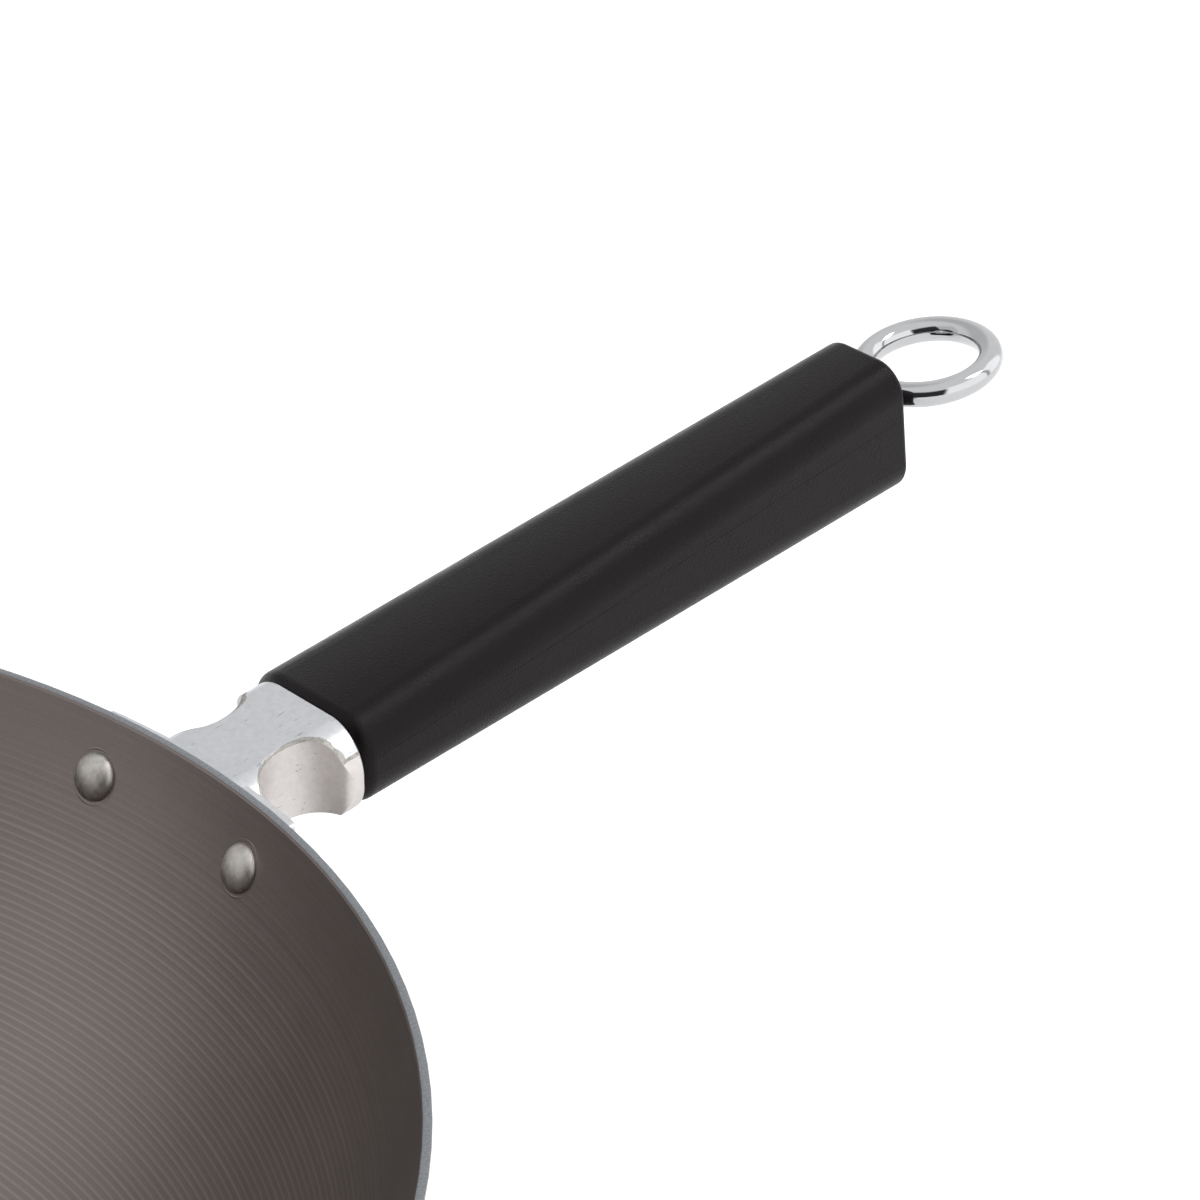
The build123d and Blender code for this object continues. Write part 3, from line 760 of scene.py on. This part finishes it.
# Studio
def studio_floor():
    """Pale sweep of paper: a lit matt white, and a little light of its own for what looks at it."""
    material, tree, shader = new_material("studio_paper")
    shader.inputs["Base Color"].default_value = linear("#f7f7f7")
    shader.inputs["Roughness"].default_value = 0.9
    shader.inputs["Specular IOR Level"].default_value = 0.0
    path = add(tree, "ShaderNodeLightPath")
    seen = add(tree, "ShaderNodeMath", {0: path.outputs["Is Camera Ray"], 1: path.outputs["Is Glossy Ray"]},
               operation="MAXIMUM")
    seen = add(tree, "ShaderNodeMath", {0: seen.outputs[0], 1: path.outputs["Is Transmission Ray"]},
               operation="MAXIMUM")
    glow = add(tree, "ShaderNodeMath", {0: seen.outputs[0], 1: floor_glow}, operation="MULTIPLY")
    shader.inputs["Emission Color"].default_value = linear("#ffffff")
    tree.links.new(glow.outputs[0], shader.inputs["Emission Strength"])
    corners = [(x, y, -floor_drop) for x, y in ((-floor_half, -floor_half), (floor_half, -floor_half),
                                                (floor_half, floor_half), (-floor_half, floor_half))]
    mesh = bpy.data.meshes.new("studio_floor")
    mesh.from_pydata(corners, [], [(0, 1, 2, 3)])
    mesh.materials.append(material)
    floor = bpy.data.objects.new("studio_floor", mesh)
    bpy.context.scene.collection.objects.link(floor)


def studio_world():
    """Soft white room: a plain level all round, brighter windows and a high lamp in front to the right, and
    the dark end of the studio in front to the left."""
    world = bpy.data.worlds.new("studio_room")
    bpy.context.scene.world = world
    world.use_nodes = True
    tree = world.node_tree
    place = add(tree, "ShaderNodeTexCoord").outputs["Generated"]
    part = add(tree, "ShaderNodeSeparateXYZ", {0: place})
    front = add(tree, "ShaderNodeMath", {0: part.outputs["Y"], 1: -1.0}, operation="MULTIPLY").outputs[0]
    turn = add(tree, "ShaderNodeMath", {0: part.outputs["X"], 1: front}, operation="ARCTAN2").outputs[0]
    rise = add(tree, "ShaderNodeMath", {0: part.outputs["Z"]}, operation="ARCSINE").outputs[0]

    def span(value, middle, half, soft):
        """One inside a range of angles about a middle, falling to nothing over a soft edge."""
        shifted = add(tree, "ShaderNodeMath", {0: value, 1: radians(middle)}, operation="SUBTRACT").outputs[0]
        away = add(tree, "ShaderNodeMath", {0: shifted}, operation="ABSOLUTE").outputs[0]
        edges = {"From Min": radians(half), "From Max": radians(half + soft), "To Min": 1.0, "To Max": 0.0}
        return add(tree, "ShaderNodeMapRange", {"Value": away, **edges},
                   interpolation_type="SMOOTHSTEP").outputs[0]

    level = add(tree, "ShaderNodeMapRange", {"Value": rise, "From Min": 0.0,
                                             "From Max": radians(room_top_rise),
                                             "To Min": room_foot_level,
                                             "To Max": room_top_level}).outputs[0]
    for strength, *angles in (behind_right, behind_left, left_side, dark_end, front_window, window_post,
                              side_window, high_lamp):
        across = span(turn, *angles[:3])
        along = span(rise, *angles[3:])
        inside = add(tree, "ShaderNodeMath", {0: across, 1: along}, operation="MULTIPLY").outputs[0]
        level = add(tree, "ShaderNodeMix", {0: inside, 2: level, 3: strength}).outputs[0]
    level = add(tree, "ShaderNodeMath", {0: level, 1: room_level}, operation="MULTIPLY").outputs[0]
    tree.links.new(level, tree.nodes["Background"].inputs["Strength"])
    tree.nodes["Background"].inputs["Color"].default_value = linear("#ffffff")


def camera():
    """The photograph's own view."""
    lens = bpy.data.cameras.new("camera")
    lens.sensor_width = camera_sensor
    lens.lens = camera_lens
    lens.clip_start = camera_near
    view = bpy.data.objects.new("camera", lens)
    bpy.context.scene.collection.objects.link(view)
    view.location = camera_place
    view.rotation_euler = (radians(90 - camera_elevation), 0, radians(camera_azimuth))
    bpy.context.scene.camera = view


def main():
    """Dress the wok in its materials, add what the solids leave to the scene, and set the studio up."""
    steel = spun_carbon_steel()
    aluminium = cast_aluminium()
    resin = phenolic()
    plate = chrome()
    rivets = rivet_steel()
    spun_bowl(steel, cut_steel())
    rivet_lips(steel)
    set_rivets(rivets)
    hanging_eye(plate)
    parting_lines(resin)
    finishes = {"handle_bracket": aluminium, "handle_grip": resin, "eye_washer": plate,
                "helper_bracket": aluminium, "helper_grip": resin, "helper_screw": rivets}
    for node, material in finishes.items():
        dress(node, material)
    studio_floor()
    studio_world()
    camera()
    bpy.context.scene.view_settings.view_transform = "Standard"


main()
